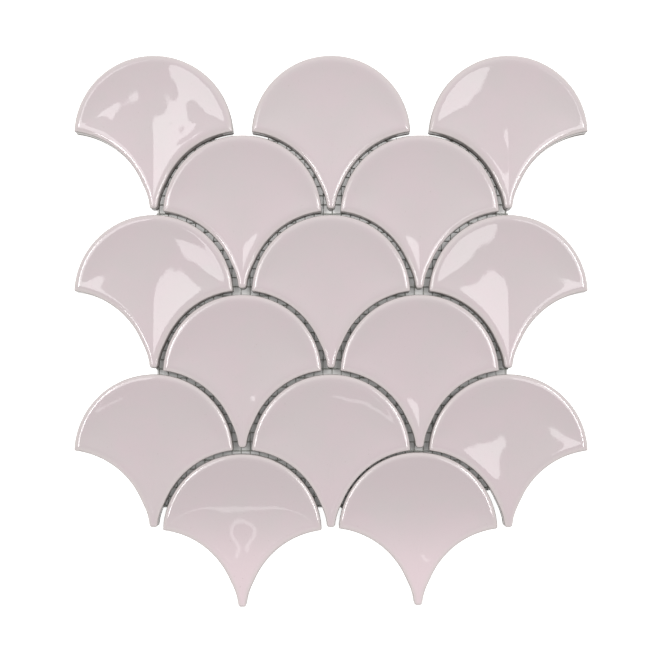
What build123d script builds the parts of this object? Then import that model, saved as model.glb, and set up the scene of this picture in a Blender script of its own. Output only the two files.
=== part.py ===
from build123d import *
import math
import os

# A sheet of fan mosaic: fifteen glazed fan chips in six rows of three and two in turn, glued to a fibre net.
# It lies face up with the net's back on Z = 0, the rows along X, the tips towards -Y,
# and the origin under the middle of the sheet.

# The chip's outline: an upper arc, and two lower arcs that follow the arcs of the row below.
arc_radius = 42.3
joint = 2.0
tip_corner_radius = 2.2
side_corner_radius = 0.8

# The chip's section: straight walls, then a steep rim, a shoulder and a shallow cushion up to the flat middle.
chip_thickness = 6.0
rim_width = 1.0
rim_drop = 0.95
shoulder_width = 1.4
shoulder_drop = 0.35
cushion_width = 2.2
cushion_drop = 0.15
back_edge_chamfer = 0.4

# The pattern: the gap between the arcs of one row, how far a chip's crown lies below the centres
# of the row above, and the gap from a tip to the crown two rows below.
row_gap = 9.8
crown_drop = 0.1
tip_gap = 3.3
row_count = 6

# A chip that was set by hand a little off the pattern.
hand_laid_shift = {"fan_row6_right": (-0.8, 0.9)}

# The net: square openings between bonded threads, and how far its cut edges lie inside the sheet's.
net_pitch = 4.9
thread_width = 0.6
net_thickness = 0.4
net_inset_left = 43.8
net_inset_right = 42.5
net_inset_top = 43.0
net_inset_bottom = 52.5
panel_columns = 2
panel_rows = 4

column_step = arc_radius + row_gap / 2
row_step = arc_radius + crown_drop
tip_drop = 2 * row_step - arc_radius - tip_gap
tip_half_width = column_step - math.sqrt((arc_radius + joint) ** 2 - (row_step - tip_drop) ** 2)
sheet_width = 4 * column_step + 2 * arc_radius
sheet_height = arc_radius + (row_count - 1) * row_step + tip_drop
first_row_y = sheet_height / 2 - arc_radius

os.makedirs("parts", exist_ok=True)


def chip_places():
    """Gives each chip's name with the place of its arc's centre, row by row."""
    for row in range(row_count):
        if row % 2 == 0:
            columns = {"left": -2, "middle": 0, "right": 2}
        else:
            columns = {"left": -1, "right": 1}
        for side, column in columns.items():
            chip_name = f"fan_row{row + 1}_{side}"
            shift_x, shift_y = hand_laid_shift.get(chip_name, (0, 0))
            yield chip_name, column * column_step + shift_x, first_row_y - row * row_step + shift_y


# The fan's outline about its arc's centre, with a blunt tip. The tip's rounding is limited by its width.
with BuildSketch() as fan_outline:
    Circle(arc_radius)
    with Locations((column_step, -row_step), (-column_step, -row_step)):
        Circle(arc_radius + joint, mode=Mode.SUBTRACT)
    with Locations((0, -tip_drop)):
        Rectangle(2 * arc_radius, arc_radius, align=(Align.CENTER, Align.MAX), mode=Mode.SUBTRACT)
    fillet(fan_outline.vertices().sort_by(Axis.Y)[:2], min(tip_corner_radius, 0.9 * tip_half_width))
    side_corners = fan_outline.vertices().sort_by(Axis.X)
    fillet([side_corners[0], side_corners[-1]], side_corner_radius)

# One fan chip: each band of its glazed edge leans further in than the one below it,
# and the bands of the two lower sides meet in a ridge along the tip.
with BuildPart() as fan_chip:
    add(fan_outline.sketch)
    extrude(amount=chip_thickness - rim_drop - shoulder_drop - cushion_drop)
    glazed_edge = ((rim_width, rim_drop), (shoulder_width, shoulder_drop), (cushion_width, cushion_drop))
    for band_width, band_drop in glazed_edge:
        lean = math.degrees(math.atan2(band_width, band_drop))
        extrude(fan_chip.faces().sort_by(Axis.Z)[-1], amount=band_drop, taper=lean)
    chamfer(fan_chip.faces().sort_by(Axis.Z)[0].edges(), back_edge_chamfer)

# The chips lie on the net, each in its place in the pattern.
for chip_name, x, y in chip_places():
    with BuildPart(Plane.XY.offset(net_thickness)) as placed_chip:
        with Locations((x, y)):
            add(fan_chip.part)
    placed_chip.part.label = chip_name
    export_step(placed_chip.part, f"parts/{chip_name}.step")

# The net fills its window in the sheet with as many whole openings as fit, about the window's middle.
net_left = net_inset_left - sheet_width / 2
net_right = sheet_width / 2 - net_inset_right
net_bottom = net_inset_bottom - sheet_height / 2
net_top = sheet_height / 2 - net_inset_top
net_columns = int((net_right - net_left - thread_width) / net_pitch)
net_rows = int((net_top - net_bottom - thread_width) / net_pitch)
net_plane = Plane(origin=((net_left + net_right) / 2, (net_bottom + net_top) / 2, 0))
opening = net_pitch - thread_width


def panel_spans(openings, panels):
    """Gives each panel's first and last thread along one direction, counted from the net's edge."""
    threads = [round(openings * index / panels) for index in range(panels + 1)]
    return list(zip(threads, threads[1:]))


def panel_edges(first, last, openings):
    """Gives a panel's two edges: past a whole thread at the net's edge, and halfway into an inner thread."""
    low = (first - openings / 2) * net_pitch
    high = (last - openings / 2) * net_pitch
    if first == 0:
        low -= thread_width / 2
    if last == openings:
        high += thread_width / 2
    return low, high


# The net's panels meet face to face: each is a thin sheet with a square opening between each four crossings.
for row, (bottom_thread, top_thread) in enumerate(panel_spans(net_rows, panel_rows)):
    for column, (left_thread, right_thread) in enumerate(panel_spans(net_columns, panel_columns)):
        left, right = panel_edges(left_thread, right_thread, net_columns)
        bottom, top = panel_edges(bottom_thread, top_thread, net_rows)
        openings_x = (left_thread + right_thread - net_columns) / 2 * net_pitch
        openings_y = (bottom_thread + top_thread - net_rows) / 2 * net_pitch
        with BuildPart() as net_panel:
            with BuildSketch(net_plane):
                with Locations(((left + right) / 2, (bottom + top) / 2)):
                    border = Rectangle(right - left, top - bottom, mode=Mode.PRIVATE)
                with Locations((openings_x, openings_y)):
                    count_x, count_y = right_thread - left_thread, top_thread - bottom_thread
                    with GridLocations(net_pitch, net_pitch, count_x, count_y):
                        openings = Rectangle(opening, opening, mode=Mode.PRIVATE)
                add(Face(border.wire(), openings.wires()))
            extrude(amount=net_thickness, clean=False)
        panel_name = f"net_panel_{row + 1}_{column + 1}"
        net_panel.part.label = panel_name
        export_step(net_panel.part, f"parts/{panel_name}.step")
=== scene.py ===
"""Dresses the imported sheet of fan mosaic: glazed fan chips on a woven fibre net, on a pale studio floor."""

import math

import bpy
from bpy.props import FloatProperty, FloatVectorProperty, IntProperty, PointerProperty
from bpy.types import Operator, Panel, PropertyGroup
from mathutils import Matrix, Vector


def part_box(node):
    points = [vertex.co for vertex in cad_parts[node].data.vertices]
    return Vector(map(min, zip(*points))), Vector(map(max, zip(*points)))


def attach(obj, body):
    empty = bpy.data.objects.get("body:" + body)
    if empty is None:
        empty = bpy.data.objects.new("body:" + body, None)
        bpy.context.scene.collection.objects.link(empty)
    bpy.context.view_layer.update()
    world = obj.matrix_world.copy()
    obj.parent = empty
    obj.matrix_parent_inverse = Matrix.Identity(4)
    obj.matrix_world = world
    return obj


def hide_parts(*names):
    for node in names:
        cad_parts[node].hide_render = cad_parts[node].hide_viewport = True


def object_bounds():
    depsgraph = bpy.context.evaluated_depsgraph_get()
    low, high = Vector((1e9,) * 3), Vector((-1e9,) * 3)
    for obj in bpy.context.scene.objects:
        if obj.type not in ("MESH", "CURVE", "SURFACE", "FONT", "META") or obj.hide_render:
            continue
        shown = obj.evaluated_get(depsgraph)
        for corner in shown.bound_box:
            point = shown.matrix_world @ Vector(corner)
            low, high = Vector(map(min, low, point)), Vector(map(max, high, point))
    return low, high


bl_info = {
    "name": "Fan Mosaic Sheet",
    "version": (1, 0, 0),
    "blender": (4, 5, 0),
    "location": "View3D > Sidebar > Mosaic",
    "description": "Makes the glazed chips, the fibre net and the stage around the packed sheet",
    "category": "Object",
}

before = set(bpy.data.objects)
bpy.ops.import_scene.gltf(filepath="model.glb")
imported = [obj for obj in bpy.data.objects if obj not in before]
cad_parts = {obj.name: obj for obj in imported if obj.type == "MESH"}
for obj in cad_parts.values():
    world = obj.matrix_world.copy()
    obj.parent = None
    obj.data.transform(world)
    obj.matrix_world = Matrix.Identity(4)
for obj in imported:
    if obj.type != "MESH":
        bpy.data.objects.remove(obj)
CAD_BOX = [list(corner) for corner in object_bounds()]
CHIP_NODES = sorted(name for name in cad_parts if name.startswith("fan_row"))
NET_NODES = sorted(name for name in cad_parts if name.startswith("net_panel"))

MM = 0.001
IMAGE_SIZE = 665
SENSOR_WIDTH = 36.0

# The chip that warped most in firing, the seeds of the chips' waves, and the chips with shallower lower slopes.
WARPED_CHIP = "fan_row1_left"
WARPED_SEED = 32.1
SEED_STEP = 7.31
LOWER_SLOPES = {"fan_row5_right": 0.85, "fan_row5_left": 0.85}

# Strength of the painted light towards the tip and painted shade under the crown, in the lowest row and in all
# others.
LOWEST_ROW = "row6"
LOWEST_ROW_LIGHT_AND_SHADE = {"Tip Light": 0.95, "Crown Shade": 0.7}
OTHER_ROW_LIGHT_AND_SHADE = {"Tip Light": 0.22, "Crown Shade": 0.2}

# Stretches along Y from a chip's arc's centre, over which a form, a painted light or a painted shade grows to full
# size.
CREASE_STRETCH = (-8 * MM, 8 * MM)
TAPER_STRETCH = (-24 * MM, -38 * MM)
TIP_LIGHT_STRETCH = (16 * MM, -26 * MM)
CROWN_SHADE_STRETCH = (8 * MM, 36 * MM)

# How blunt the crease between the two lower slopes is at the two ends of its stretch.
CREASE_BLUNTNESS = (0.2 * MM, 5 * MM)

# Depth inside the upper arc at the crease between upper and lower slopes, as a share of that in the lower arc.
CREASE_RATIO = 0.92

# Share of the tip's steps that go round its corner. The rest run along its flat end.
TIP_CORNER_SHARE = 0.84

# How the face's rings crowd towards the rim.
RING_CROWDING = 1.35

# Distance from the edge to the first pressed ring on the back, and to where the waves reach their full height.
FIRST_RIB_DEPTH = 3 * MM
WAVE_EASE = 6 * MM

# How far the waves may stand above the rim's ridge, as a share of their height.
WAVE_ROOM = 0.3

# A point on the slanted cut along the net's lower edge, and the cut's rise over run.
NET_CUT = (3.7 * MM, -96.6 * MM, 0.141)

# Radii of the net's upright and cross yarns, as shares of the thread's width and the net's thickness.
UPRIGHT_RADII = (0.25, 0.165)
CROSS_RADII = (0.55, 0.17)

# How far an upright yarn swings to its side, as a share of the width, and lifts with the swing and without it, as
# shares of the thickness.
UPRIGHT_SWING = 0.25
SWING_LIFT = 0.2
LEAST_LIFT = 0.13

# How often the yarns sway in a metre, and the length of one turn of their twist.
SWAY_SCALE = 28.0
YARN_TWIST = 1.6 * MM

# Grain of the glaze's pinker clouds, its mottling, specks and ripple, its line on the wall, and the clay's grit.
CLOUD_SIZE = 26 * MM
MOTTLE_SIZE = 7 * MM
SPECK_SIZE = 1.1 * MM
RIPPLE_SIZE = 3.2 * MM
LINE_SIZE = 5 * MM
GRIT_SIZE = 0.45 * MM

# Heights of the ripple, the specks and the grit.
RIPPLE_HEIGHT = 0.004 * MM
SPECK_HEIGHT = 0.0006 * MM
GRIT_HEIGHT = 0.05 * MM

# Depths inside the outline over which the painted highlight lies over the rim, and the painted shade along the
# edge.
RIM_HIGHLIGHT_STRETCH = (0.2 * MM, 3.2 * MM)
EDGE_SHADE_STRETCH = (0.1 * MM, 0.5 * MM)

# Heights between which bare clay turns to glaze, how far that line wanders, and how strongly the glaze mirrors.
GLAZE_LINE = (2.5 * MM, 2.75 * MM)
LINE_WANDER = 2.2 * MM
GLAZE_IOR = 1.58

# The point of the sheet in the middle of the picture, and how far up the sheet the camera hangs.
PICTURE_MIDDLE = (0.8 * MM, -0.8 * MM)
CAMERA_Y = -42 * MM

# The floor's size and its distance below the sheet, which keeps the two apart, and its glow.
FLOOR_SIZE = 8.0
FLOOR_CLEARANCE = 0.05 * MM
FLOOR_GLOW = 0.8

# The shade on the floor under the net: how far it reaches past the net, its tone against the floor's, the stretch
# along Y over which it goes from light to deep, how strong it is there, and how much of the glow it takes away.
SHADE_MARGIN = 0.8 * MM
SHADE_TONE = 0.55
SHADE_STRETCH = (70 * MM, 0.0)
SHADE_STRENGTHS = (0.1, 0.72)
SHADED_GLOW = (0.78, 0.94)

# How far a direction leans from upright away from the camera's side, where the ceiling changes towards the highest
# and the lowest row, and how far up a direction points, where the walls turn to ceiling.
FAR_LEANS = (-0.2, 0.8)
NEAR_LEANS = (-0.6, -0.1)
WALL_TOP = (0.35, 0.8)

# Each light's left, right, near and far edges in metres, and the setting that holds its radiance.
LIGHT_HEIGHT = 2.5
LIGHTS = {
    "softbox_left": (-1.22, -0.655, 0.22, 1.27, "softbox"),
    "softbox_right": (0.655, 1.22, -0.06, 1.04, "softbox"),
    "strip_left": (-1.75, -1.22, -0.25, 1.1, "strip"),
    "strip_right": (1.22, 1.75, -0.25, 1.1, "strip"),
    "tube": (-0.56, 0.0, -0.335, -0.305, "tube"),
}


def colour(red, green, blue):
    """Gives a colour of 0 to 255 as screens show it in the linear values that shaders take."""
    linear = []
    for value in (red, green, blue):
        value /= 255
        linear.append(value / 12.92 if value <= 0.04045 else ((value + 0.055) / 1.055) ** 2.4)
    return tuple(linear)


def boxes_together(names):
    """Gives the lowest and highest corner of several CAD nodes."""
    corners = [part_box(name) for name in names]
    low = [min(corner[0][axis] for corner in corners) for axis in range(3)]
    high = [max(corner[1][axis] for corner in corners) for axis in range(3)]
    return low, high


CHIP_LOW, CHIP_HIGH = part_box("fan_row1_middle")
NEXT_LOW, NEXT_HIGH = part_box("fan_row2_right")
NET_LOW, NET_HIGH = boxes_together(NET_NODES)
COLUMN_STEP = ((NEXT_LOW.x + NEXT_HIGH.x) - (CHIP_LOW.x + CHIP_HIGH.x)) / 2
ROW_STEP = CHIP_HIGH.y - NEXT_HIGH.y
ARC_RADIUS = 42.3 * MM


class FanChipSizes(PropertyGroup):
    """The sizes of one fan chip."""

    arc_radius: FloatProperty(
        name="Arc Radius", description="Radius of the chip's upper arc",
        default=ARC_RADIUS, unit="LENGTH", subtype="DISTANCE")
    joint: FloatProperty(
        name="Joint", description="Gap between the lower arcs and the chips of the row below",
        default=2.0 * MM, unit="LENGTH", subtype="DISTANCE")
    column_step: FloatProperty(
        name="Column Step", description="Distance sideways to the chips of the row below",
        default=COLUMN_STEP, unit="LENGTH", subtype="DISTANCE")
    row_step: FloatProperty(
        name="Row Step", description="Distance down to the row below",
        default=ROW_STEP, unit="LENGTH", subtype="DISTANCE")
    tip_drop: FloatProperty(
        name="Tip Drop", description="How far the blunt tip lies below the centre of the upper arc",
        default=CHIP_HIGH.y - CHIP_LOW.y - ARC_RADIUS, unit="LENGTH", subtype="DISTANCE")
    side_corner: FloatProperty(
        name="Side Corner", description="Rounding of the two side corners",
        default=0.8 * MM, unit="LENGTH", subtype="DISTANCE")
    tip_corner: FloatProperty(
        name="Tip Corner", description="Rounding of the tip's two corners",
        default=2.2 * MM, unit="LENGTH", subtype="DISTANCE")
    back_chamfer: FloatProperty(
        name="Back Chamfer", description="Bevel round the chip's back",
        default=0.4 * MM, unit="LENGTH", subtype="DISTANCE")
    rim_width: FloatProperty(
        name="Rim Width", description="How far in from the edge the rounded rim reaches its ridge",
        default=3.2 * MM, unit="LENGTH", subtype="DISTANCE")
    rim_rise: FloatProperty(
        name="Rim Rise", description="Height of the rounded rim above the straight wall",
        default=1.42 * MM, unit="LENGTH", subtype="DISTANCE")
    dish_slope: FloatProperty(
        name="Dish Slope", description="Slope of the dished face beside the rim, as rise over run",
        default=0.115)
    dish_start: FloatProperty(
        name="Dish Start", description="How softly the rim's ridge turns over into the dish",
        default=1.0 * MM, unit="LENGTH", subtype="DISTANCE")
    dish_ease: FloatProperty(
        name="Dish Ease", description="Distance over which the dish's slope eases to about a third",
        default=14.0 * MM, unit="LENGTH", subtype="DISTANCE")
    crease_sharpness: FloatProperty(
        name="Crease Sharpness", description="How tightly the dish turns between its upper and lower slopes",
        default=4.0)
    tip_taper: FloatProperty(
        name="Tip Taper", description="How much narrower the tip is than its two arcs make it",
        default=0.28, subtype="FACTOR")
    warp: FloatProperty(
        name="Warp", description="Height of the glaze's slow waves from firing",
        default=0.1 * MM, unit="LENGTH", subtype="DISTANCE")
    strong_warp: FloatProperty(
        name="Strong Warp", description="Height of the slow waves on the one chip that warped most",
        default=0.32 * MM, unit="LENGTH", subtype="DISTANCE")
    warp_size: FloatProperty(
        name="Warp Size", description="Size of the glaze's slow waves",
        default=24 * MM, unit="LENGTH", subtype="DISTANCE")
    rib_depth: FloatProperty(
        name="Rib Depth", description="Depth of the pressed rings on the chip's back",
        default=0.25 * MM, unit="LENGTH", subtype="DISTANCE")
    rib_pitch: FloatProperty(
        name="Rib Pitch", description="Distance between the pressed rings on the chip's back",
        default=7.0 * MM, unit="LENGTH", subtype="DISTANCE")


class GlazeColours(PropertyGroup):
    """The colours of the glaze and of the clay under it, with the painted light and shade on them."""

    glaze: FloatVectorProperty(
        name="Glaze", description="The glaze over most of the face",
        default=colour(198, 188, 189), subtype="COLOR", min=0, max=1)
    glaze_pink: FloatVectorProperty(
        name="Pink Glaze", description="The pinker clouds in the glaze",
        default=colour(201, 187, 190), subtype="COLOR", min=0, max=1)
    # Painted light: the glaze is lighter and pinker towards the tip.
    painted_tip_light: FloatVectorProperty(
        name="Painted Light at Tip", description="Painted light on the glaze towards the tip, lighter and pinker",
        default=colour(222, 204, 208), subtype="COLOR", min=0, max=1)
    # Painted shade: the glaze is darker under the crown.
    painted_crown_shade: FloatVectorProperty(
        name="Painted Shade at Crown", description="Painted shade on the glaze under the crown",
        default=colour(192, 180, 182), subtype="COLOR", min=0, max=1)
    # Painted highlight: the glaze is lighter over the rim.
    painted_rim_highlight: FloatVectorProperty(
        name="Painted Rim Highlight", description="Painted highlight on the glaze over the rim",
        default=colour(208, 199, 197), subtype="COLOR", min=0, max=1)
    # Painted shade: the glaze is darker along the sharpest part of the edge.
    painted_edge_shade: FloatVectorProperty(
        name="Painted Edge Shade", description="Painted shade on the glaze along the sharpest part of the edge",
        default=colour(146, 139, 136), subtype="COLOR", min=0, max=1)
    speck: FloatVectorProperty(
        name="Specks", description="Fine specks under the glaze",
        default=colour(184, 171, 169), subtype="COLOR", min=0, max=1)
    clay: FloatVectorProperty(
        name="Clay", description="The bare fired clay of the walls and the back",
        default=colour(178, 170, 164), subtype="COLOR", min=0, max=1)
    # Painted shade: the bare wall under the glaze is darker.
    painted_wall_shade: FloatVectorProperty(
        name="Painted Wall Shade", description="Painted shade on the bare wall under the glaze",
        default=colour(108, 100, 95), subtype="COLOR", min=0, max=1)


class FibreNetSizes(PropertyGroup):
    """The sizes of the net that the chips are glued to."""

    columns: IntProperty(
        name="Columns", description="Openings from the net's left edge to its right one", default=38)
    rows: IntProperty(
        name="Rows", description="Openings from the net's lower edge to its upper one", default=40)
    thread_width: FloatProperty(
        name="Thread Width", description="Width of one bonded thread",
        default=0.6 * MM, unit="LENGTH", subtype="DISTANCE")
    overhang: FloatProperty(
        name="Cut Ends", description="How far the cut thread ends stand past the last crossing",
        default=1.6 * MM, unit="LENGTH", subtype="DISTANCE")
    sway: FloatProperty(
        name="Sway", description="How far the threads wander from straight",
        default=0.25 * MM, unit="LENGTH", subtype="DISTANCE")
    yarn: FloatVectorProperty(
        name="Yarn", description="The coated glass yarn",
        default=colour(176, 178, 170), subtype="COLOR", min=0, max=1)
    # Painted shade: the grooves between the yarn's filaments are darker.
    painted_groove_shade: FloatVectorProperty(
        name="Painted Groove Shade", description="Painted shade in the grooves between the yarn's filaments",
        default=colour(118, 119, 112), subtype="COLOR", min=0, max=1)


class StageSettings(PropertyGroup):
    """The camera, the floor and the lights."""

    camera_height: FloatProperty(
        name="Camera Height", description="Height of the camera above the glaze",
        default=450 * MM, unit="LENGTH", subtype="DISTANCE")
    pixel: FloatProperty(
        name="Pixel Size", description="Width that one pixel of the picture covers on the glaze",
        default=0.5307 * MM, unit="LENGTH", subtype="DISTANCE")
    floor: FloatVectorProperty(
        name="Floor", description="The pale floor",
        default=colour(240, 239, 237), subtype="COLOR", min=0, max=1)
    softbox: FloatProperty(
        name="Softbox", description="Radiance of the softboxes at the two sides", default=3.08)
    strip: FloatProperty(
        name="Strip", description="Radiance of the brighter strips past the softboxes", default=11.5)
    tube: FloatProperty(
        name="Tube", description="Radiance of the thin tube light past the camera", default=1.7)
    surround: FloatProperty(
        name="Surround", description="Radiance of the pale walls all round", default=0.31)
    ceiling: FloatProperty(
        name="Ceiling", description="Radiance of the ceiling round the camera", default=0.1)
    far_ceiling: FloatProperty(
        name="Far Ceiling", description="Radiance of the ceiling past the highest row", default=1.3)
    near_ceiling: FloatProperty(
        name="Near Ceiling", description="Radiance of the ceiling past the lowest row", default=0.8)


def connect(tree, value, socket):
    """Links a value to a socket where it comes from a node, and sets it there where it is a constant."""
    if isinstance(value, Field):
        value = value.socket
    if isinstance(value, bpy.types.NodeSocket):
        tree.links.new(value, socket)
    else:
        socket.default_value = value


def add_node(tree, kind, inputs=None, **settings):
    """Adds a node with its settings and inputs, and places it in the next free place of a wide table."""
    count = len(tree.nodes)
    node = tree.nodes.new(kind)
    node.location = (count % 14 * 190, -(count // 14) * 260)
    for name, value in settings.items():
        setattr(node, name, value)
    for key, value in (inputs or {}).items():
        connect(tree, value, node.inputs[key])
    return node


class Field:
    """A number in a node tree, which plain arithmetic turns into Math nodes."""

    def __init__(self, tree, socket):
        self.tree = tree
        self.socket = socket

    def math(self, operation, *others, clamp=False):
        """Gives a Math node's result, with this number as its first input."""
        inputs = dict(enumerate((self,) + others))
        node = add_node(self.tree, "ShaderNodeMath", inputs, operation=operation, use_clamp=clamp)
        return Field(self.tree, node.outputs[0])

    def reverse(self, operation, other):
        """Gives a Math node's result, with this number as its second input."""
        node = add_node(self.tree, "ShaderNodeMath", {0: other, 1: self}, operation=operation)
        return Field(self.tree, node.outputs[0])

    def __add__(self, other):
        return self.math("ADD", other)

    def __radd__(self, other):
        return self.math("ADD", other)

    def __sub__(self, other):
        return self.math("SUBTRACT", other)

    def __rsub__(self, other):
        return self.reverse("SUBTRACT", other)

    def __mul__(self, other):
        return self.math("MULTIPLY", other)

    def __rmul__(self, other):
        return self.math("MULTIPLY", other)

    def __truediv__(self, other):
        return self.math("DIVIDE", other)

    def __rtruediv__(self, other):
        return self.reverse("DIVIDE", other)

    def clamped(self):
        return self.math("ADD", 0.0, clamp=True)

    def root(self):
        return self.math("SQRT")

    def sin(self):
        return self.math("SINE")

    def cos(self):
        return self.math("COSINE")

    def above(self, other):
        """Gives 1 where this number is greater than the other, and 0 elsewhere."""
        return self.math("GREATER_THAN", other)

    def mixed(self, other, share):
        """Goes from this number to the other as the share goes from 0 to 1."""
        return self + (self * -1 + other) * share


def vector(tree, x, y, z):
    """Joins three numbers to a vector."""
    return add_node(tree, "ShaderNodeCombineXYZ", {"X": x, "Y": y, "Z": z}).outputs[0]


def parts_of(tree, socket):
    """Splits a vector into its three numbers."""
    node = add_node(tree, "ShaderNodeSeparateXYZ", {0: socket})
    return [Field(tree, output) for output in node.outputs]


def mapped(tree, value, from_low, from_high, to_low, to_high):
    """Maps a value smoothly from one range to another."""
    inputs = {"Value": value, "From Min": from_low, "From Max": from_high, "To Min": to_low, "To Max": to_high}
    node = add_node(tree, "ShaderNodeMapRange", inputs, interpolation_type="SMOOTHSTEP")
    return Field(tree, node.outputs["Result"])


SOCKET_KINDS = {
    float: "NodeSocketFloat",
    int: "NodeSocketInt",
    tuple: "NodeSocketVector",
    bpy.types.Material: "NodeSocketMaterial",
}


def new_geometry_tree(name, values):
    """Starts a geometry tree with one named input for each value, and gives it with its inputs by name."""
    tree = bpy.data.node_groups.new(name, "GeometryNodeTree")
    tree.is_modifier = True
    tree.interface.new_socket("Geometry", in_out="INPUT", socket_type="NodeSocketGeometry")
    tree.interface.new_socket("Geometry", in_out="OUTPUT", socket_type="NodeSocketGeometry")
    for input_name, value in values.items():
        kind = next(kind for form, kind in SOCKET_KINDS.items() if isinstance(value, form))
        socket = tree.interface.new_socket(input_name, in_out="INPUT", socket_type=kind)
        socket.default_value = value
    group_input = add_node(tree, "NodeGroupInput")
    fields = {output.name: Field(tree, output) for output in group_input.outputs if output.name}
    return tree, fields


def finish_tree(tree, geometry, material):
    """Ends a geometry tree with real, smooth geometry that carries its material."""
    real = add_node(tree, "GeometryNodeRealizeInstances", {"Geometry": geometry})
    smooth = add_node(tree, "GeometryNodeSetShadeSmooth", {"Geometry": real.outputs[0]})
    dressed = add_node(tree, "GeometryNodeSetMaterial", {"Geometry": smooth.outputs[0], "Material": material})
    add_node(tree, "NodeGroupOutput", {"Geometry": dressed.outputs[0]})
    return tree


def grow(name, tree, values):
    """Runs a geometry tree on an empty mesh and gives the plain mesh object that comes out."""
    piece = bpy.data.objects.new(name, bpy.data.meshes.new(name))
    bpy.context.scene.collection.objects.link(piece)
    modifier = piece.modifiers.new(tree.name, "NODES")
    modifier.node_group = tree
    for item in tree.interface.items_tree:
        if item.item_type == "SOCKET" and item.in_out == "INPUT" and item.name in values:
            modifier[item.identifier] = values[item.name]
    depsgraph = bpy.context.evaluated_depsgraph_get()
    depsgraph.update()
    evaluated = piece.evaluated_get(depsgraph)
    mesh = bpy.data.meshes.new_from_object(evaluated, preserve_all_data_layers=True, depsgraph=depsgraph)
    piece.modifiers.remove(modifier)
    piece.data = mesh
    mesh.name = name
    mesh.materials.clear()
    mesh.materials.append(values["Material"])
    mesh.polygons.foreach_set("material_index", [0] * len(mesh.polygons))
    if not mesh.polygons:
        raise RuntimeError(f"{name} came out empty")
    return piece


def named_sizes(group, names):
    """Reads properties under the names that they have as inputs of a tree."""
    return {group.bl_rna.properties[name].name: getattr(group, name) for name in names}


CHIP_INPUTS = (
    "arc_radius", "joint", "column_step", "row_step", "tip_drop", "side_corner", "tip_corner", "back_chamfer",
    "rim_width", "rim_rise", "dish_slope", "dish_start", "dish_ease", "crease_sharpness",
    "tip_taper", "warp", "warp_size", "rib_depth", "rib_pitch")
CHIP_STEPS = {
    "Arc Steps": 52,
    "Side Steps": 28,
    "Corner Steps": 5,
    "Tip Steps": 9,
    "Back Rings": 18,
    "Wall Rings": 6,
    "Face Rings": 24,
}


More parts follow.
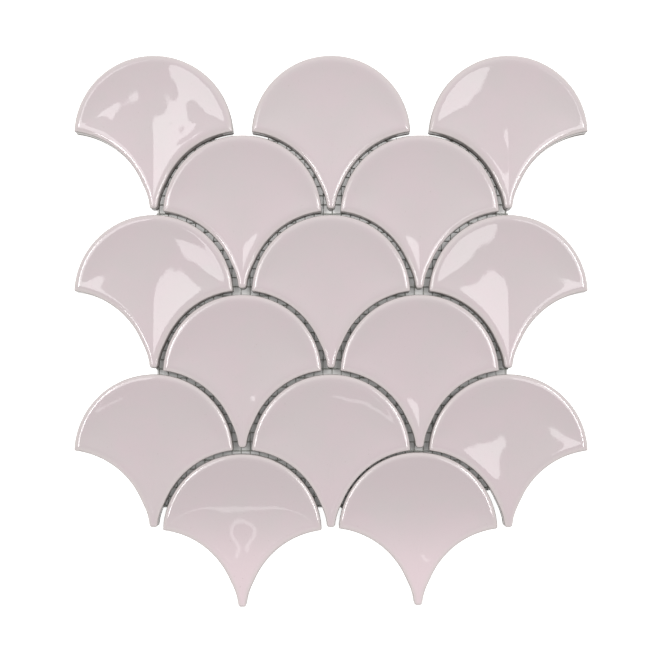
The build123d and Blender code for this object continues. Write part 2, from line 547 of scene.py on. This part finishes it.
def fan_chip_tree(values):
    """Builds the tree of a fan chip: a grid whose one side runs round the outline and whose other side runs
    from the middle of the back over the wall to the middle of the face. The middle is the line of points
    that lie as far from one arc as from the next, where the glaze's slopes meet."""
    tree, put = new_geometry_tree("Fan Chip", values)
    radius, joint, across, down = (put[name] for name in ("Arc Radius", "Joint", "Column Step", "Row Step"))
    side_corner, tip_corner = put["Side Corner"], put["Tip Corner"]
    arc_steps, side_steps = put["Arc Steps"], put["Side Steps"]
    corner_steps, tip_steps = put["Corner Steps"], put["Tip Steps"]
    back_rings, wall_rings, face_rings = put["Back Rings"], put["Wall Rings"], put["Face Rings"]

    # The grid's two counts for each point: its step round the outline and its ring.
    half = arc_steps * 2 + side_steps + corner_steps + tip_steps
    rings = back_rings + wall_rings + face_rings
    grid = add_node(tree, "GeometryNodeMeshGrid", {"Vertices X": half * 2 + 1, "Vertices Y": rings + 1})
    index = Field(tree, add_node(tree, "GeometryNodeInputIndex").outputs[0])
    around = ((index + 0.5) / (rings + 1)).math("FLOOR")
    ring = index - around * (rings + 1)
    step = half - (around - half).math("ABSOLUTE")
    side = 1 - around.above(half) * 2

    def share(count, first, length):
        """Goes from 0 to 1 while the count runs over one stretch."""
        return ((count - first) / length).clamped()

    # The stretches of half an outline: upper arc, side corner, lower arc beside the branch, beside the stem, tip.
    to_corner = share(step, 0, arc_steps)
    round_corner = share(step, arc_steps, corner_steps)
    from_corner = share(step, arc_steps + corner_steps, arc_steps)
    down_stem = share(step, arc_steps * 2 + corner_steps, side_steps)
    round_tip = share(step, arc_steps * 2 + corner_steps + side_steps, tip_steps)

    # The middle line's branch from the chip's middle to its side corner, by the angle about the arc's centre.
    lower_radius = radius + joint
    centre_distance = (across * across + down * down).root()
    power = radius * radius + centre_distance * centre_distance - lower_radius * lower_radius
    corner_reach = (power - side_corner * (lower_radius + radius) * 2) / ((radius - side_corner) * 2)
    corner_angle = (corner_reach / centre_distance).math("ARCCOSINE") - down.math("ARCTAN2", across)
    branch = to_corner * (1 - from_corner)
    angle = math.pi / 2 - branch * (math.pi / 2 - corner_angle)
    toward = across * angle.cos() - down * angle.sin()
    inset = (power - radius * toward * 2) / ((lower_radius + radius - toward) * 2)
    middle_inset = (power + radius * down * 2) / ((lower_radius + radius + down) * 2)

    # The stem of the middle line, down to the end that the tip's corners turn about.
    tip_y = tip_corner - put["Tip Drop"]
    tip_arm = lower_radius + tip_corner
    tip_run = (tip_arm * tip_arm - (tip_y + down) * (tip_y + down)).root()
    tip_x = across - tip_run
    stem_end = (tip_y + down) * across / tip_run - down
    middle_x = (radius - inset) * angle.cos()
    middle_y = (radius - inset) * angle.sin() + down_stem * (stem_end - radius + middle_inset)

    # The outline's point that belongs to each middle point, by stretch.
    lower_distance = ((middle_x - across) * (middle_x - across) + (middle_y + down) * (middle_y + down)).root()
    lower_share = lower_radius / lower_distance
    lower_x = across + (middle_x - across) * lower_share
    lower_y = (middle_y + down) * lower_share - down
    turn_end = (0 - down - middle_y).math("ARCTAN2", across - middle_x)
    turn = corner_angle.mixed(turn_end, round_corner)
    tip_start = (0 - down - tip_y).math("ARCTAN2", tip_run)
    tip_turn = tip_start.mixed(-math.pi / 2, (round_tip / TIP_CORNER_SHARE).clamped())
    tip_flat = ((round_tip - TIP_CORNER_SHARE) / (1 - TIP_CORNER_SHARE)).clamped()
    outline_x = radius * angle.cos()
    outline_y = radius * angle.sin()
    stretches = (
        (round_corner.above(0.0), middle_x + side_corner * turn.cos(), middle_y + side_corner * turn.sin()),
        (from_corner.above(0.0), lower_x, lower_y),
        (round_tip.above(0.0), tip_x * (1 - tip_flat) + tip_corner * tip_turn.cos(),
         tip_y + tip_corner * tip_turn.sin()),
    )
    for begun, x, y in stretches:
        outline_x = outline_x.mixed(x, begun)
        outline_y = outline_y.mixed(y, begun)
    reach_x = middle_x - outline_x
    reach_y = middle_y - outline_y
    reach = (reach_x * reach_x + reach_y * reach_y).root()
    middle_depth = lower_distance - lower_radius

    # How far in each ring lies: the back from the middle out, the chamfer, the wall, and the face back in.
    on_back = share(ring, 0, back_rings)
    on_wall = share(ring, back_rings, wall_rings) * wall_rings
    on_face = share(ring, back_rings + wall_rings, face_rings)
    chamfer = put["Back Chamfer"]
    chamfer_share = chamfer / reach
    on_chamfer = on_wall.clamped()
    eased = on_face.math("POWER", RING_CROWDING)
    face_share = eased * eased * (3 - eased * 2)
    back_share = 1 - on_back * (1 - chamfer_share)
    inward = back_share - chamfer_share * on_chamfer + face_share

    def depth_in(portion):
        """Gives the distance from the outline of a point that lies a portion of the way to the middle line."""
        return portion * reach.mixed(middle_depth, portion)

    # The heights: pressed rings on the back, the straight wall and the rounded rim.
    back_depth = depth_in(back_share)
    rib_phase = (back_depth - FIRST_RIB_DEPTH).math("MAXIMUM", 0.0) / put["Rib Pitch"] * math.tau
    ribs = (1 - rib_phase.cos()) * 0.5 * put["Rib Depth"] * (1 - on_chamfer)
    wall = (put["Wall Height"] - put["Back Height"] - chamfer) * ((on_wall - 1) / (wall_rings - 1)).clamped()
    face_depth = depth_in(face_share)
    rim_left = 1 - (face_depth / put["Rim Width"]).clamped()
    rim = (1 - rim_left * rim_left).root() * put["Rim Rise"]

    # The dish falls with the depth inside the nearest arc, which turns over softly where two arcs are as near.
    plain_x = outline_x + reach_x * inward
    y = outline_y + reach_y * inward
    sharpness = put["Crease Sharpness"]
    arc_depth = (radius - (plain_x * plain_x + y * y).root()).math("MAXIMUM", 0.01 * MM)
    blunt = mapped(tree, y, *CREASE_STRETCH, *CREASE_BLUNTNESS)
    beside = across - (plain_x * plain_x + blunt * blunt).root()
    lower_depth = (beside * beside + (y + down) * (y + down)).root() - lower_radius
    ratio = (lower_depth / arc_depth * put["Lower Slope"] * CREASE_RATIO).math("MAXIMUM", 0.0)
    soft_depth = lower_depth * (1 + ratio.math("POWER", sharpness)).math("POWER", -1 / sharpness)
    past_rim = (soft_depth - put["Rim Width"]).math("MAXIMUM", 0.0)
    dish_start, dish_ease = put["Dish Start"], put["Dish Ease"]
    past_rim = (past_rim * past_rim + dish_start * dish_start).root() - dish_start
    dish = (1 - (past_rim / dish_ease * -1).math("EXPONENT")) * dish_ease * put["Dish Slope"]
    dish = dish * put["Lower Slope"] * on_face.above(0.0)

    # The tip narrows, and slow waves run over the face inside the rim.
    x = side * plain_x * (1 - mapped(tree, y, *TAPER_STRETCH, 0.0, 1.0) * put["Tip Taper"])
    noise = add_node(
        tree, "ShaderNodeTexNoise",
        {"Vector": vector(tree, x, y, 0.0), "W": put["Seed"], "Scale": 1 / put["Warp Size"], "Detail": 1.0},
        noise_dimensions="4D")
    inside_rim = mapped(tree, face_depth, 0.0, WAVE_EASE, 0.0, 1.0)
    waves = (Field(tree, noise.outputs[0]) - 0.5) * 2 * put["Warp"] * inside_rim
    z = put["Back Height"] + ribs + chamfer * on_chamfer + wall + rim - dish + waves

    # The grid takes its shape, and each point keeps its depth, and its painted tip light and crown shade, for the
    # glaze.
    placed = add_node(
        tree, "GeometryNodeSetPosition", {"Geometry": grid.outputs[0], "Position": vector(tree, x, y, z)})
    kept = add_node(
        tree, "GeometryNodeStoreNamedAttribute",
        {"Geometry": placed.outputs[0], "Name": "glaze_depth", "Value": face_depth},
        data_type="FLOAT", domain="POINT")
    # Painted light grows towards the tip, and painted shade under the crown.
    tone = mapped(tree, y, *TIP_LIGHT_STRETCH, 0.0, 1.0) * put["Tip Light"]
    tone = tone - mapped(tree, y, *CROWN_SHADE_STRETCH, 0.0, 1.0) * put["Crown Shade"]
    toned = add_node(
        tree, "GeometryNodeStoreNamedAttribute",
        {"Geometry": kept.outputs[0], "Name": "tip_light_and_crown_shade", "Value": tone},
        data_type="FLOAT", domain="POINT")
    closed = add_node(
        tree, "GeometryNodeMergeByDistance", {"Geometry": toned.outputs[0], "Distance": 0.002 * MM})
    moved = add_node(
        tree, "GeometryNodeTransform", {"Geometry": closed.outputs[0], "Translation": put["Place"]})
    return finish_tree(tree, moved.outputs[0], put["Material"])


def new_material(name):
    """Starts a material with its shader, and gives its tree, its shader and its Object coordinates."""
    material = bpy.data.materials.new(name)
    material.use_nodes = True
    tree = material.node_tree
    tree.nodes.clear()
    shader = add_node(tree, "ShaderNodeBsdfPrincipled")
    add_node(tree, "ShaderNodeOutputMaterial", {"Surface": shader.outputs[0]})
    coordinates = add_node(tree, "ShaderNodeTexCoord").outputs["Object"]
    return material, tree, shader, coordinates


def noise_of(tree, coordinates, size, detail=3.0, roughness=0.5, offset=(0.0, 0.0, 0.0)):
    """Gives a noise whose grains have about the given size, moved so that no two noises match."""
    place = add_node(tree, "ShaderNodeMapping", {"Vector": coordinates, "Location": offset})
    inputs = {"Vector": place.outputs[0], "Scale": 1 / size, "Detail": detail, "Roughness": roughness}
    return Field(tree, add_node(tree, "ShaderNodeTexNoise", inputs).outputs[0])


def mix_colours(tree, first, second, share):
    """Mixes two colours by a share."""
    node = add_node(tree, "ShaderNodeMix", data_type="RGBA")
    sockets = {socket.identifier: socket for socket in node.inputs}
    for identifier, value in (("Factor_Float", share), ("A_Color", first), ("B_Color", second)):
        connect(tree, value, sockets[identifier])
    return next(Field(tree, socket) for socket in node.outputs if socket.identifier == "Result_Color")


def attribute_of(tree, name):
    """Reads a number that the mesh holds at each point."""
    return Field(tree, add_node(tree, "ShaderNodeAttribute", attribute_name=name).outputs["Fac"])


def set_surface(tree, shader, base, roughness, height):
    """Gives a shader its colour, its roughness and a bump of real height."""
    bump = add_node(tree, "ShaderNodeBump", {"Height": height, "Distance": 1.0, "Strength": 1.0})
    connect(tree, base, shader.inputs["Base Color"])
    connect(tree, roughness, shader.inputs["Roughness"])
    connect(tree, bump.outputs[0], shader.inputs["Normal"])


def opaque(value):
    """Gives a colour property with the fourth value that a shader's socket has."""
    return (*value, 1.0)


def glaze_material(colours):
    """Makes the pink-grey glaze, which runs over the rim and ends in a wavy line on the wall's bare clay."""
    material, tree, shader, coordinates = new_material("Pink Glaze")
    depth = attribute_of(tree, "glaze_depth")
    tone = attribute_of(tree, "tip_light_and_crown_shade")
    above_floor = parts_of(tree, coordinates)[2]

    # Pinker clouds, painted light towards the tip, painted shade under the crown, and fine specks.
    clouds = noise_of(tree, coordinates, CLOUD_SIZE, 2.0)
    mottle = noise_of(tree, coordinates, MOTTLE_SIZE, 4.0, 0.6, (0.3, 0.1, 0.0))
    fine = noise_of(tree, coordinates, SPECK_SIZE, 3.0, 0.6, (0.7, 0.2, 0.0))
    pinkness = mapped(tree, clouds * 0.6 + mottle * 0.4, 0.36, 0.64, 0.0, 1.0)
    face = mix_colours(tree, opaque(colours.glaze), opaque(colours.glaze_pink), pinkness)
    # Painted light towards the tip, painted shade under the crown.
    face = mix_colours(tree, face, opaque(colours.painted_tip_light), tone.clamped())
    face = mix_colours(tree, face, opaque(colours.painted_crown_shade), (tone * -1).clamped())
    specks = mapped(tree, fine, 0.66, 0.74, 0.0, 0.55)
    face = mix_colours(tree, face, opaque(colours.speck), specks)
    # A painted highlight lightens the glaze over the rim.
    thin = mapped(tree, depth + (mottle - 0.5) * 1.2 * MM, *RIM_HIGHLIGHT_STRETCH, 0.75, 0.0)
    face = mix_colours(tree, face, opaque(colours.painted_rim_highlight), thin)
    # A painted shade darkens the glaze along the edge.
    edge_shade = mapped(tree, depth, *EDGE_SHADE_STRETCH, 0.9, 0.0)
    face = mix_colours(tree, face, opaque(colours.painted_edge_shade), edge_shade)

    # The glaze's lower line on the wall, and the clay under it, with a painted shade where it does not face down.
    run = noise_of(tree, coordinates, LINE_SIZE, 2.0, 0.5, (0.0, 0.0, 0.4))
    glazed = mapped(tree, above_floor + (run - 0.5) * LINE_WANDER, *GLAZE_LINE, 0.0, 1.0)
    grit = noise_of(tree, coordinates, GRIT_SIZE, 5.0, 0.7, (0.2, 0.0, 0.1))
    clay_tone = mapped(tree, grit, 0.25, 0.75, 0.0, 0.35)
    clay = mix_colours(tree, opaque(colours.clay), opaque(colours.speck), clay_tone)
    facing = parts_of(tree, add_node(tree, "ShaderNodeNewGeometry").outputs["True Normal"])[2]
    # The bare wall, all clay that does not face down, takes a painted shade.
    clay = mix_colours(tree, clay, opaque(colours.painted_wall_shade), mapped(tree, facing, -0.9, -0.6, 0.0, 1.0))
    base = mix_colours(tree, clay, face, glazed)

    # The glaze ripples a little and mirrors. The clay is rough and dull.
    ripple = noise_of(tree, coordinates, RIPPLE_SIZE, 2.0, 0.5, (0.5, 0.5, 0.0))
    height = (ripple * RIPPLE_HEIGHT + fine * SPECK_HEIGHT) * glazed + grit * GRIT_HEIGHT * (1 - glazed)
    set_surface(tree, shader, base, (0.82 - glazed * 0.8) + mottle * 0.02, height)
    shader.inputs["IOR"].default_value = GLAZE_IOR
    return material


class MOSAIC_OT_fan_chips(Operator):
    """Make a glazed fan chip in the place of each packed one"""

    bl_idname = "mosaic.fan_chips"
    bl_label = "Fan Chips"
    bl_options = {"REGISTER", "UNDO"}

    def execute(self, context):
        sizes = context.scene.mosaic_chip
        material = glaze_material(context.scene.mosaic_glaze)
        tree = None
        for index, node in enumerate(CHIP_NODES):
            low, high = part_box(node)
            warped = node == WARPED_CHIP
            warp = sizes.strong_warp if warped else sizes.warp
            values = {
                **named_sizes(sizes, CHIP_INPUTS),
                **CHIP_STEPS,
                **(LOWEST_ROW_LIGHT_AND_SHADE if LOWEST_ROW in node else OTHER_ROW_LIGHT_AND_SHADE),
                "Back Height": low.z,
                "Wall Height": high.z - sizes.rim_rise - warp * WAVE_ROOM,
                "Place": ((low.x + high.x) / 2, high.y - sizes.arc_radius, 0.0),
                "Warp": warp,
                "Seed": WARPED_SEED if warped else index * SEED_STEP,
                "Lower Slope": LOWER_SLOPES.get(node, 1.0),
                "Material": material,
            }
            tree = tree or fan_chip_tree(values)
            chip = grow("glazed_" + node, tree, values)
            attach(chip, "root")
            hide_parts(node)
        return {"FINISHED"}


def fibre_net_tree(values):
    """Builds the tree of the net: pairs of upright yarns that twist between flat cross yarns, all cut to size."""
    tree, put = new_geometry_tree("Fibre Net", values)
    pitch, columns, rows = put["Pitch"], put["Columns"], put["Rows"]
    width, thickness, cut = put["Thread Width"], put["Thickness"], put["Cut Ends"]
    corner_x, corner_y, _ = parts_of(tree, put["Corner"])
    trim_x, trim_y, trim_slope = parts_of(tree, put["Trim"])

    def threads(count, openings, upright):
        """Lays straight lines at one pitch, each as long as the given number of openings."""
        along = vector(tree, 0.0, pitch, 0.0) if upright else vector(tree, pitch, 0.0, 0.0)
        aside = vector(tree, pitch, 0.0, 0.0) if upright else vector(tree, 0.0, pitch, 0.0)
        line = add_node(tree, "GeometryNodeCurvePrimitiveLine", {"Start": (0.0, 0.0, 0.0), "End": along})
        scaled = add_node(tree, "GeometryNodeTransform", {
            "Geometry": line.outputs[0],
            "Scale": vector(tree, 1.0, openings, 1.0) if upright else vector(tree, openings, 1.0, 1.0)})
        row = add_node(
            tree, "GeometryNodeMeshLine", {"Count": count, "Start Location": (0.0, 0.0, 0.0), "Offset": aside},
            mode="OFFSET")
        copies = add_node(
            tree, "GeometryNodeInstanceOnPoints", {"Points": row.outputs[0], "Instance": scaled.outputs[0]})
        real = add_node(tree, "GeometryNodeRealizeInstances", {"Geometry": copies.outputs[0]})
        return real.outputs[0]

    def laid(curves, steps, offset, radii):
        """Bends yarns, cuts them at the net's trimmed edge and gives them a flat oval section."""
        divided = add_node(tree, "GeometryNodeResampleCurve", {"Curve": curves, "Count": steps})
        moved = add_node(tree, "GeometryNodeSetPosition", {"Geometry": divided.outputs[0], "Offset": offset})
        at = parts_of(tree, add_node(tree, "GeometryNodeInputPosition").outputs[0])
        wander = add_node(tree, "ShaderNodeTexNoise", {
            "Vector": vector(tree, at[0], at[1], 0.1), "Scale": SWAY_SCALE, "Detail": 1.0})
        wander_x, wander_y, _ = parts_of(tree, wander.outputs["Color"])
        sway = put["Sway"] * 2
        shift = vector(tree, corner_x + (wander_x - 0.5) * sway, corner_y + (wander_y - 0.5) * sway, 0.0)
        placed = add_node(tree, "GeometryNodeSetPosition", {"Geometry": moved.outputs[0], "Offset": shift})
        here = parts_of(tree, add_node(tree, "GeometryNodeInputPosition").outputs[0])
        edge = trim_y + (here[0] - trim_x) * trim_slope
        trimmed = add_node(
            tree, "GeometryNodeDeleteGeometry",
            {"Geometry": placed.outputs[0], "Selection": (edge - here[1]).above(0.0)}, domain="POINT")
        upright = add_node(tree, "GeometryNodeSetCurveNormal", {"Curve": trimmed.outputs[0]}, mode="Z_UP")
        parameter = add_node(tree, "GeometryNodeSplineParameter")
        length = add_node(
            tree, "GeometryNodeStoreNamedAttribute",
            {"Geometry": upright.outputs[0], "Name": "yarn_length", "Value": parameter.outputs["Length"]},
            data_type="FLOAT", domain="POINT")
        circle = add_node(tree, "GeometryNodeCurvePrimitiveCircle", {"Resolution": 5, "Radius": 1.0})
        oval = add_node(tree, "GeometryNodeTransform", {
            "Geometry": circle.outputs[0], "Scale": vector(tree, width * radii[0], thickness * radii[1], 1.0)})
        turn = add_node(tree, "GeometryNodeSplineParameter").outputs["Factor"]
        turned = add_node(
            tree, "GeometryNodeStoreNamedAttribute",
            {"Geometry": oval.outputs[0], "Name": "yarn_turn", "Value": turn},
            data_type="FLOAT", domain="POINT")
        tube = add_node(tree, "GeometryNodeCurveToMesh", {
            "Curve": length.outputs[0], "Profile Curve": turned.outputs[0], "Fill Caps": True})
        return tube.outputs[0]

    # The upright pairs: one yarn passes over each cross yarn and the other under it, and they swap sides between.
    uprights = threads(columns + 1, rows + cut * 2 / pitch, True)
    at = parts_of(tree, add_node(tree, "GeometryNodeInputPosition").outputs[0])
    phase = (at[1] - cut) / pitch * math.pi
    upright_steps = (rows + 1) * 4 + 1
    middle = thickness * 0.5
    yarns = []
    for side in (1.0, -1.0):
        lift = phase.cos() * phase.cos() * thickness * SWING_LIFT + thickness * LEAST_LIFT
        offset = vector(tree, phase.cos() * width * UPRIGHT_SWING * side, 0.0 - cut, middle + lift * side)
        yarns.append(laid(uprights, upright_steps, offset, UPRIGHT_RADII))

    # The cross yarns are flat and nearly straight.
    crosses = threads(rows + 1, columns + cut * 2 / pitch, False)
    offset = vector(tree, 0.0 - cut, 0.0, middle)
    yarns.append(laid(crosses, (columns + 1) * 2 + 1, offset, CROSS_RADII))
    joined = add_node(tree, "GeometryNodeJoinGeometry")
    for yarn in yarns:
        tree.links.new(yarn, joined.inputs[0])
    return finish_tree(tree, joined.outputs[0], put["Material"])


def yarn_material(sizes):
    """Makes the coated glass yarn, with twisted filaments and a painted shade in the grooves between them."""
    material, tree, shader, coordinates = new_material("Fibre Net")
    length = attribute_of(tree, "yarn_length")
    turn = attribute_of(tree, "yarn_turn")
    # The grooves between the twisted filaments take a painted shade.
    filaments = (turn * math.tau * 3 + length / YARN_TWIST * math.tau).sin() * 0.5 + 0.5
    wear = noise_of(tree, coordinates, 2.4 * MM, 4.0, 0.6)
    tone = mapped(tree, filaments * 0.6 + wear * 0.5, 0.25, 0.85, 0.0, 1.0)
    base = mix_colours(tree, opaque(sizes.painted_groove_shade), opaque(sizes.yarn), tone)
    set_surface(tree, shader, base, 0.62 - wear * 0.2, filaments * 0.03 * MM + wear * 0.02 * MM)
    return material


class MOSAIC_OT_fibre_net(Operator):
    """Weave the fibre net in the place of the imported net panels"""

    bl_idname = "mosaic.fibre_net"
    bl_label = "Fibre Net"
    bl_options = {"REGISTER", "UNDO"}

    def execute(self, context):
        sizes = context.scene.mosaic_net
        half_thread = sizes.thread_width / 2
        values = {
            "Pitch": (NET_HIGH[0] - NET_LOW[0] - sizes.thread_width) / sizes.columns,
            "Columns": sizes.columns,
            "Rows": sizes.rows,
            "Thread Width": sizes.thread_width,
            "Thickness": NET_HIGH[2] - NET_LOW[2],
            "Cut Ends": sizes.overhang,
            "Sway": sizes.sway,
            "Corner": (NET_LOW[0] + half_thread, NET_LOW[1] + half_thread, NET_LOW[2]),
            "Trim": NET_CUT,
            "Material": yarn_material(sizes),
        }
        net = grow("fibre_net", fibre_net_tree(values), values)
        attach(net, "root")
        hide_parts(*NET_NODES)
        return {"FINISHED"}


def add_floor(settings):
    """Lays the pale floor. The camera sees it as white, except through the net, in the joints' shade."""
    half, level = FLOOR_SIZE / 2, -FLOOR_CLEARANCE
    corners = [(-half, -half, level), (half, -half, level), (half, half, level), (-half, half, level)]
    mesh = bpy.data.meshes.new("floor")
    mesh.from_pydata(corners, [], [(0, 1, 2, 3)])
    floor = bpy.data.objects.new("floor", mesh)
    bpy.context.scene.collection.objects.link(floor)
    material, tree, shader, coordinates = new_material("Pale Floor")
    paper = noise_of(tree, coordinates, 0.9 * MM, 4.0)
    base = mix_colours(tree, opaque(settings.floor), opaque([value * 0.97 for value in settings.floor]), paper)
    shader.inputs["Roughness"].default_value = 0.9

    # The floor under the net, which ends at the net's slanted cut, takes a deeper shade.
    x, y, _ = parts_of(tree, coordinates)
    inside = (x - NET_LOW[0]).above(-SHADE_MARGIN) * (NET_HIGH[0] - x).above(-SHADE_MARGIN)
    inside = inside * (y - NET_LOW[1]).above(-SHADE_MARGIN) * (NET_HIGH[1] - y).above(-SHADE_MARGIN)
    cut_x, cut_y, cut_slope = NET_CUT
    inside = inside * (y - cut_y - (x - cut_x) * cut_slope).above(0.0)
    shade = opaque([value * SHADE_TONE for value in settings.floor])
    shaded = inside * mapped(tree, y, *SHADE_STRETCH, *SHADE_STRENGTHS)
    connect(tree, mix_colours(tree, base, shade, shaded), shader.inputs["Base Color"])

    # The rest glows just enough to be seen and mirrored as white, with the sheet's shadow still on it.
    rays = add_node(tree, "ShaderNodeLightPath")
    seen = Field(tree, rays.outputs["Is Camera Ray"])
    seen = seen + Field(tree, rays.outputs["Is Glossy Ray"]) + Field(tree, rays.outputs["Is Transmission Ray"])
    glow = add_node(tree, "ShaderNodeEmission", {"Color": (1.0, 1.0, 1.0, 1.0), "Strength": FLOOR_GLOW})
    plain = add_node(tree, "ShaderNodeAddShader", {0: shader.outputs[0], 1: glow.outputs[0]})
    shown = seen.clamped() * (1 - inside * mapped(tree, y, *SHADE_STRETCH, *SHADED_GLOW))
    mixed = add_node(tree, "ShaderNodeMixShader", {0: shown, 1: shader.outputs[0], 2: plain.outputs[0]})
    output = next(node for node in tree.nodes if node.type == "OUTPUT_MATERIAL")
    tree.links.new(mixed.outputs[0], output.inputs["Surface"])
    floor.data.materials.append(material)


def add_light(name, left, right, near, far, radiance):
    """Hangs a rectangular light that shines straight down with the given radiance."""
    light = bpy.data.lights.new(name, "AREA")
    light.shape = "RECTANGLE"
    light.size = right - left
    light.size_y = far - near
    light.energy = radiance * light.size * light.size_y * math.pi
    lamp = bpy.data.objects.new(name, light)
    lamp.location = ((left + right) / 2, (near + far) / 2, LIGHT_HEIGHT)
    bpy.context.scene.collection.objects.link(lamp)


def add_camera(settings):
    """Hangs the camera over the sheet, looking straight down from a point nearer to the lowest row."""
    glaze_height = CAD_BOX[1][2]
    covered = settings.pixel * IMAGE_SIZE
    camera_data = bpy.data.cameras.new("camera")
    camera_data.sensor_width = SENSOR_WIDTH
    camera_data.lens = SENSOR_WIDTH * settings.camera_height / covered
    camera_data.shift_y = (PICTURE_MIDDLE[1] - CAMERA_Y) / covered
    camera = bpy.data.objects.new("camera", camera_data)
    camera.location = (PICTURE_MIDDLE[0], CAMERA_Y, glaze_height + settings.camera_height)
    bpy.context.scene.collection.objects.link(camera)
    bpy.context.scene.camera = camera


def add_surround(settings):
    """Fills the room with pale light: walls, and a ceiling that is dark round the camera and lighter past the
    highest and the lowest row. The camera sees all of it as white, and so does gloss the walls."""
    world = bpy.data.worlds.new("Pale Room")
    world.use_nodes = True
    tree = world.node_tree
    tree.nodes.clear()
    direction = add_node(tree, "ShaderNodeTexCoord").outputs["Generated"]
    _, toward_far, upward = parts_of(tree, direction)

    # The ceiling changes with the lean of a direction from upright, away from the camera's side or towards it.
    lean = toward_far / upward.math("MAXIMUM", 0.05)
    ceiling = mapped(tree, lean, *FAR_LEANS, settings.ceiling, settings.far_ceiling)
    ceiling = ceiling + mapped(tree, lean, *NEAR_LEANS, settings.near_ceiling, 0.0)
    overhead = mapped(tree, upward, *WALL_TOP, 0.0, 1.0)
    room = ceiling * overhead + (1 - overhead) * settings.surround
    rays = add_node(tree, "ShaderNodeLightPath")
    mirrored = Field(tree, rays.outputs["Is Glossy Ray"]) + Field(tree, rays.outputs["Is Transmission Ray"])
    seen = Field(tree, rays.outputs["Is Camera Ray"]) + mirrored * (1 - overhead)
    strength = room.mixed(1.0, seen.clamped())
    background = add_node(tree, "ShaderNodeBackground", {"Color": (1.0, 1.0, 1.0, 1.0), "Strength": strength})
    add_node(tree, "ShaderNodeOutputWorld", {"Surface": background.outputs[0]})
    bpy.context.scene.world = world


class MOSAIC_OT_stage(Operator):
    """Set up the floor, the lights and the camera"""

    bl_idname = "mosaic.stage"
    bl_label = "Stage"
    bl_options = {"REGISTER", "UNDO"}

    def execute(self, context):
        settings = context.scene.mosaic_stage
        add_camera(settings)
        add_floor(settings)
        add_surround(settings)
        for name, (*edges, setting) in LIGHTS.items():
            add_light(name, *edges, getattr(settings, setting))
        context.scene.view_settings.view_transform = "Standard"
        return {"FINISHED"}


class MOSAIC_PT_sheet(Panel):
    """Lists the sheet's pieces and their sizes"""

    bl_idname = "MOSAIC_PT_sheet"
    bl_label = "Fan Mosaic Sheet"
    bl_space_type = "VIEW_3D"
    bl_region_type = "UI"
    bl_category = "Mosaic"

    def draw(self, context):
        scene = context.scene
        groups = (
            (MOSAIC_OT_fan_chips, (scene.mosaic_chip, scene.mosaic_glaze)),
            (MOSAIC_OT_fibre_net, (scene.mosaic_net,)),
            (MOSAIC_OT_stage, (scene.mosaic_stage,)),
        )
        for operator, settings in groups:
            box = self.layout.box()
            box.operator(operator.bl_idname)
            for group in settings:
                for name in group.__annotations__:
                    box.prop(group, name)


CLASSES = (
    FanChipSizes, GlazeColours, FibreNetSizes, StageSettings,
    MOSAIC_OT_fan_chips, MOSAIC_OT_fibre_net, MOSAIC_OT_stage, MOSAIC_PT_sheet)


def register():
    for cls in CLASSES:
        bpy.utils.register_class(cls)
    bpy.types.Scene.mosaic_chip = PointerProperty(type=FanChipSizes)
    bpy.types.Scene.mosaic_glaze = PointerProperty(type=GlazeColours)
    bpy.types.Scene.mosaic_net = PointerProperty(type=FibreNetSizes)
    bpy.types.Scene.mosaic_stage = PointerProperty(type=StageSettings)


def unregister():
    for name in ("mosaic_chip", "mosaic_glaze", "mosaic_net", "mosaic_stage"):
        delattr(bpy.types.Scene, name)
    for cls in reversed(CLASSES):
        bpy.utils.unregister_class(cls)


def main():
    """Makes every piece and the stage."""
    register()
    bpy.ops.mosaic.stage()
    bpy.ops.mosaic.fibre_net()
    bpy.ops.mosaic.fan_chips()


if __name__ == "__main__":
    main()
